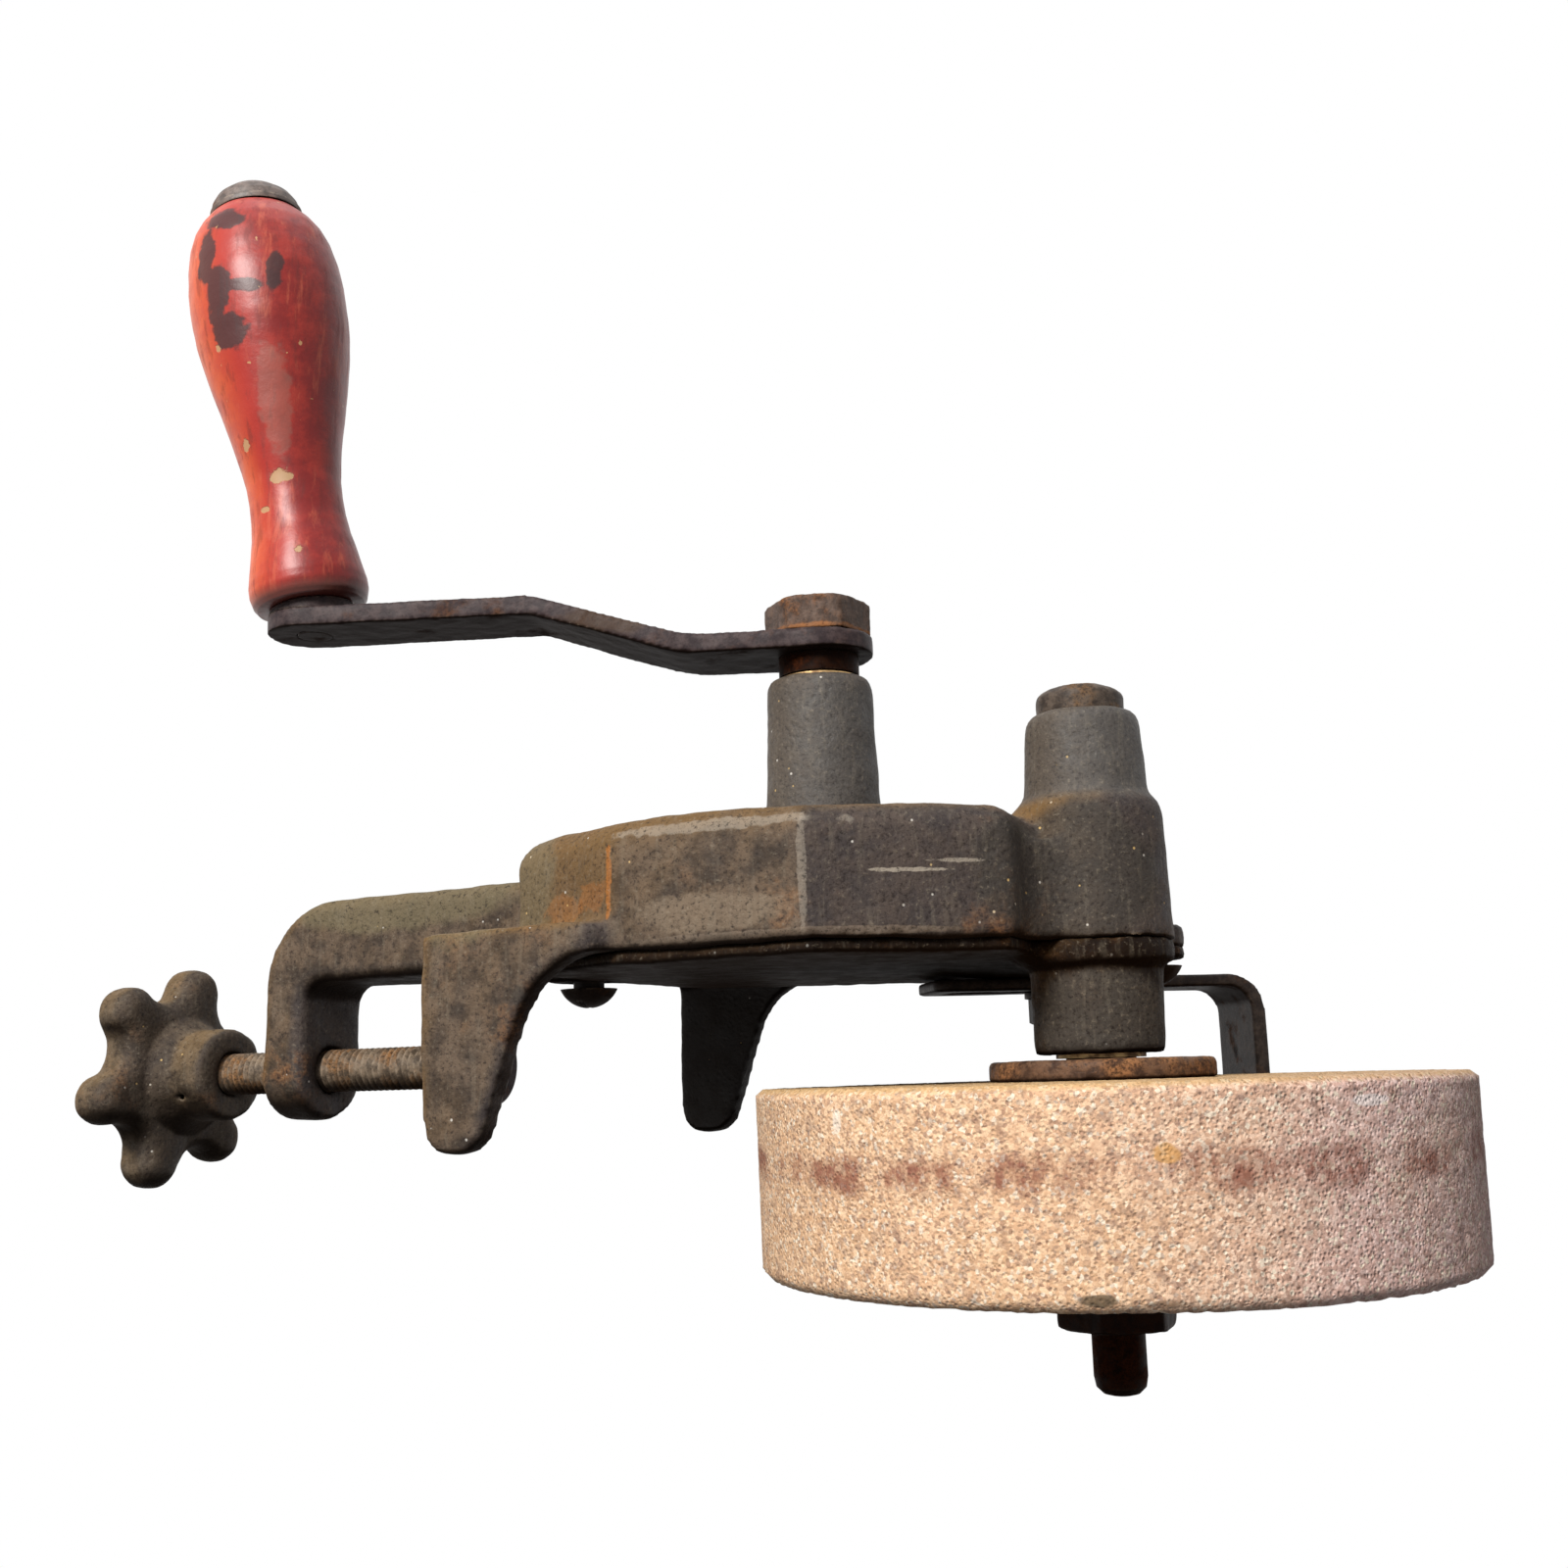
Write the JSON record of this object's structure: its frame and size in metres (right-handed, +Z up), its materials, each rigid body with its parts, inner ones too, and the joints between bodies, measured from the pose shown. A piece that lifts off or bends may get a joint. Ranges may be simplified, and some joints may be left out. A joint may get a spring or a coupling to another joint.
{
  "type": "hand crank bench grinder",
  "caption": "Bench-clamped hand grinder: a long crank turns a large gear inside an octagonal iron case, driving a small pinion and abrasive wheel, with an adjustable bent tool rest",
  "frame": {"origin": "on the bench top plane under the two feet, midway between them, in the joint plane between gear case and cover", "axes": "+Z up, away from the bench top and along the clamp screw; +Y from the crank side towards the wheel side, parallel to both shafts; +X completes the right-handed set"},
  "size_m": [0.1429, 0.2548, 0.2934],
  "materials": {
    "abrasive": "coarse vitrified abrasive, tan pink with dark and white grains",
    "bearing_bronze": "plain bearing bronze",
    "cast_iron": "old sand casting, brown-black with rust and worn edges",
    "cover_iron": "darker casting of the cover, oily and rusted",
    "dark_steel": "bar steel darkened with age",
    "gear_iron": "cut cast iron gear, greased",
    "lead": "cast soft metal bush in the wheel's eye",
    "red_lacquer_wood": "turned hardwood with worn red lacquer",
    "rusty_steel": "steel fasteners with orange-brown rust",
    "turned_steel": "turned steel, dull with light rust"
  },
  "bodies": {
    "frame": {"frame_casting": "cast_iron", "case_cover": "cover_iron", "toe_screw": "rusty_steel", "corner_screw": "rusty_steel", "crank_bush": "bearing_bronze", "arbor_upper_bush": "bearing_bronze", "arbor_lower_bush": "bearing_bronze", "arbor_cap": "turned_steel"},
    "arbor": {"arbor_shaft": "turned_steel", "arbor_pinion": "turned_steel", "inner_flange": "rusty_steel", "grinding_wheel": "abrasive", "wheel_bush": "lead", "outer_flange": "rusty_steel", "arbor_nut": "rusty_steel"},
    "crank": {"crank_shaft": "turned_steel", "crank_gear": "gear_iron", "gear_pin": "turned_steel", "crank_arm": "dark_steel", "crank_nut": "rusty_steel", "handle_pin": "turned_steel", "handle_washer": "dark_steel", "handle_cap": "dark_steel"},
    "grip": {"handle_grip": "red_lacquer_wood"},
    "rest_clamp": {"rest_bolt": "rusty_steel", "rest_washer": "rusty_steel", "rest_nut": "rusty_steel"},
    "rest": {"tool_rest": "dark_steel"},
    "pad": {"swivel_pad": "dark_steel"},
    "screw": {"clamp_screw": "rusty_steel", "star_knob": "cast_iron", "knob_pin": "turned_steel"}
  },
  "joints": [
    {"name": "arbor_spin", "type": "hinge", "parent": "frame", "child": "arbor", "pos_m": [0, 0, 0.11224], "axis": [0, 1, 0], "continuous": true},
    {"name": "crank_turn", "type": "hinge", "parent": "frame", "child": "crank", "pos_m": [0, 0, 0.0589], "axis": [0, 1, 0], "continuous": true},
    {"name": "grip_spin", "type": "hinge", "parent": "crank", "child": "grip", "pos_m": [0.03639, -0.0754, -0.04108], "axis": [0.0535, -0.9877, -0.147], "continuous": true},
    {"name": "rest_swing", "type": "hinge", "parent": "frame", "child": "rest_clamp", "pos_m": [-0.0483, 0, 0.092], "axis": [0, 1, 0], "range_deg": [-25, 0]},
    {"name": "rest_slide", "type": "slide", "parent": "rest_clamp", "child": "rest", "axis": [-0.5373, 0, 0.8434], "range_m": [0, 0.021]},
    {"name": "clamp_slide", "type": "slide", "parent": "frame", "child": "pad", "axis": [0, 0, 1], "range_m": [-0.023, 0.017]},
    {"name": "clamp_turn", "type": "hinge", "parent": "pad", "child": "screw", "pos_m": [0, 0.0184, 0], "axis": [0, 0, 1], "range_deg": [-5216, 3856]}
  ],
  "couplings": [
    {"joint": "crank_turn", "follows": "arbor_spin", "ratio": -0.2},
    {"joint": "clamp_slide", "follows": "clamp_turn", "m_per_rad": 0.00025266}
  ]
}
